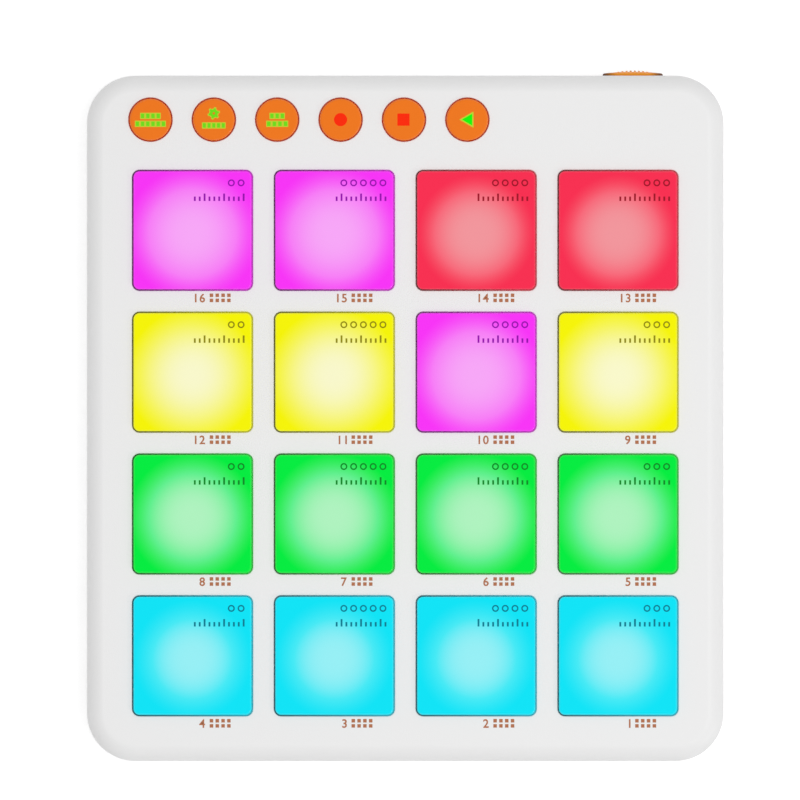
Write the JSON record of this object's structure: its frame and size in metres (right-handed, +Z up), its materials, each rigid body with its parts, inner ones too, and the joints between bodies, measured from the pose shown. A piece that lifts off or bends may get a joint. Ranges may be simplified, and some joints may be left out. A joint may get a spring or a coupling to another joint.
{
  "type": "pad controller",
  "caption": "Flat, nearly square music controller with rounded corners, sixteen lit pads, six round buttons and a ribbed dial in its rear wall.",
  "frame": {"origin": "on the surface that the feet stand on, under the middle of the case", "axes": "+X to the player's right, +Y to the rear wall with the dial, +Z up"},
  "size_m": [0.137, 0.1486, 0.0243],
  "materials": {
    "shell_white": "fine satin moulded",
    "pad_magenta": "translucent satin silicone, lit",
    "pad_red": "translucent satin silicone, lit",
    "pad_yellow": "translucent satin silicone, lit",
    "pad_green": "translucent satin silicone, lit",
    "pad_cyan": "translucent satin silicone, lit",
    "silicone_clear": "milky silicone",
    "film": "printed film",
    "board_green": "solder mask",
    "chip_black": "moulded epoxy",
    "lamp": "clear lens in a white body",
    "switch_black": "moulded",
    "plunger_tan": "moulded",
    "button_orange": "satin moulded",
    "dial_orange": "satin moulded",
    "shaft_metal": "turned",
    "plated_metal": "plated",
    "slider_grey": "moulded",
    "cell_foil": "laminated foil",
    "foot_rubber": "matt",
    "screw_steel": "zinc plated"
  },
  "bodies": {
    "case": {"top_case": "shell_white", "bottom_case": "shell_white", "pad_web": "silicone_clear", "sensor_film": "film", "main_board": "board_green", "board_chips": "chip_black", "pad_lamps": "lamp", "button_lamps": "lamp", "switch_bodies": "switch_black", "encoder_body": "plated_metal", "encoder_board": "board_green", "usb_socket": "plated_metal", "power_switch": "plated_metal", "battery": "cell_foil", "rubber_feet": "foot_rubber", "case_screws": "screw_steel", "board_screws": "screw_steel"},
    "pad_1_body": {"pad_1": "pad_cyan"},
    "pad_2_body": {"pad_2": "pad_cyan"},
    "pad_3_body": {"pad_3": "pad_cyan"},
    "pad_4_body": {"pad_4": "pad_cyan"},
    "pad_5_body": {"pad_5": "pad_green"},
    "pad_6_body": {"pad_6": "pad_green"},
    "pad_7_body": {"pad_7": "pad_green"},
    "pad_8_body": {"pad_8": "pad_green"},
    "pad_9_body": {"pad_9": "pad_yellow"},
    "pad_10_body": {"pad_10": "pad_magenta"},
    "pad_11_body": {"pad_11": "pad_yellow"},
    "pad_12_body": {"pad_12": "pad_yellow"},
    "pad_13_body": {"pad_13": "pad_red"},
    "pad_14_body": {"pad_14": "pad_red"},
    "pad_15_body": {"pad_15": "pad_magenta"},
    "pad_16_body": {"pad_16": "pad_magenta"},
    "repeat_key": {"repeat_button": "button_orange", "repeat_plunger": "plunger_tan"},
    "shift_key": {"shift_button": "button_orange", "shift_plunger": "plunger_tan"},
    "bank_key": {"bank_button": "button_orange", "bank_plunger": "plunger_tan"},
    "record_key": {"record_button": "button_orange", "record_plunger": "plunger_tan"},
    "stop_key": {"stop_button": "button_orange", "stop_plunger": "plunger_tan"},
    "play_key": {"play_button": "button_orange", "play_plunger": "plunger_tan"},
    "dial": {"dial_knob": "dial_orange", "encoder_shaft": "shaft_metal"},
    "power_slide": {"power_slider": "slider_grey"}
  },
  "joints": [
    {"name": "pad_1_press", "type": "slide", "parent": "case", "child": "pad_1_body", "axis": [0, 0, -1], "range_m": [0, 0.0008], "stiffness_N_per_m": 2500},
    {"name": "pad_2_press", "type": "slide", "parent": "case", "child": "pad_2_body", "axis": [0, 0, -1], "range_m": [0, 0.0008], "stiffness_N_per_m": 2500},
    {"name": "pad_3_press", "type": "slide", "parent": "case", "child": "pad_3_body", "axis": [0, 0, -1], "range_m": [0, 0.0008], "stiffness_N_per_m": 2500},
    {"name": "pad_4_press", "type": "slide", "parent": "case", "child": "pad_4_body", "axis": [0, 0, -1], "range_m": [0, 0.0008], "stiffness_N_per_m": 2500},
    {"name": "pad_5_press", "type": "slide", "parent": "case", "child": "pad_5_body", "axis": [0, 0, -1], "range_m": [0, 0.0008], "stiffness_N_per_m": 2500},
    {"name": "pad_6_press", "type": "slide", "parent": "case", "child": "pad_6_body", "axis": [0, 0, -1], "range_m": [0, 0.0008], "stiffness_N_per_m": 2500},
    {"name": "pad_7_press", "type": "slide", "parent": "case", "child": "pad_7_body", "axis": [0, 0, -1], "range_m": [0, 0.0008], "stiffness_N_per_m": 2500},
    {"name": "pad_8_press", "type": "slide", "parent": "case", "child": "pad_8_body", "axis": [0, 0, -1], "range_m": [0, 0.0008], "stiffness_N_per_m": 2500},
    {"name": "pad_9_press", "type": "slide", "parent": "case", "child": "pad_9_body", "axis": [0, 0, -1], "range_m": [0, 0.0008], "stiffness_N_per_m": 2500},
    {"name": "pad_10_press", "type": "slide", "parent": "case", "child": "pad_10_body", "axis": [0, 0, -1], "range_m": [0, 0.0008], "stiffness_N_per_m": 2500},
    {"name": "pad_11_press", "type": "slide", "parent": "case", "child": "pad_11_body", "axis": [0, 0, -1], "range_m": [0, 0.0008], "stiffness_N_per_m": 2500},
    {"name": "pad_12_press", "type": "slide", "parent": "case", "child": "pad_12_body", "axis": [0, 0, -1], "range_m": [0, 0.0008], "stiffness_N_per_m": 2500},
    {"name": "pad_13_press", "type": "slide", "parent": "case", "child": "pad_13_body", "axis": [0, 0, -1], "range_m": [0, 0.0008], "stiffness_N_per_m": 2500},
    {"name": "pad_14_press", "type": "slide", "parent": "case", "child": "pad_14_body", "axis": [0, 0, -1], "range_m": [0, 0.0008], "stiffness_N_per_m": 2500},
    {"name": "pad_15_press", "type": "slide", "parent": "case", "child": "pad_15_body", "axis": [0, 0, -1], "range_m": [0, 0.0008], "stiffness_N_per_m": 2500},
    {"name": "pad_16_press", "type": "slide", "parent": "case", "child": "pad_16_body", "axis": [0, 0, -1], "range_m": [0, 0.0008], "stiffness_N_per_m": 2500},
    {"name": "repeat_press", "type": "slide", "parent": "case", "child": "repeat_key", "axis": [0, 0, -1], "range_m": [0, 0.0005], "stiffness_N_per_m": 3000},
    {"name": "shift_press", "type": "slide", "parent": "case", "child": "shift_key", "axis": [0, 0, -1], "range_m": [0, 0.0005], "stiffness_N_per_m": 3000},
    {"name": "bank_press", "type": "slide", "parent": "case", "child": "bank_key", "axis": [0, 0, -1], "range_m": [0, 0.0005], "stiffness_N_per_m": 3000},
    {"name": "record_press", "type": "slide", "parent": "case", "child": "record_key", "axis": [0, 0, -1], "range_m": [0, 0.0005], "stiffness_N_per_m": 3000},
    {"name": "stop_press", "type": "slide", "parent": "case", "child": "stop_key", "axis": [0, 0, -1], "range_m": [0, 0.0005], "stiffness_N_per_m": 3000},
    {"name": "play_press", "type": "slide", "parent": "case", "child": "play_key", "axis": [0, 0, -1], "range_m": [0, 0.0005], "stiffness_N_per_m": 3000},
    {"name": "dial_turn", "type": "hinge", "parent": "case", "child": "dial", "pos_m": [0.049, 0.07375, 0.0122], "axis": [0, 1, 0], "continuous": true},
    {"name": "power_slide_travel", "type": "slide", "parent": "case", "child": "power_slide", "axis": [1, 0, 0], "range_m": [0, 0.002]}
  ]
}
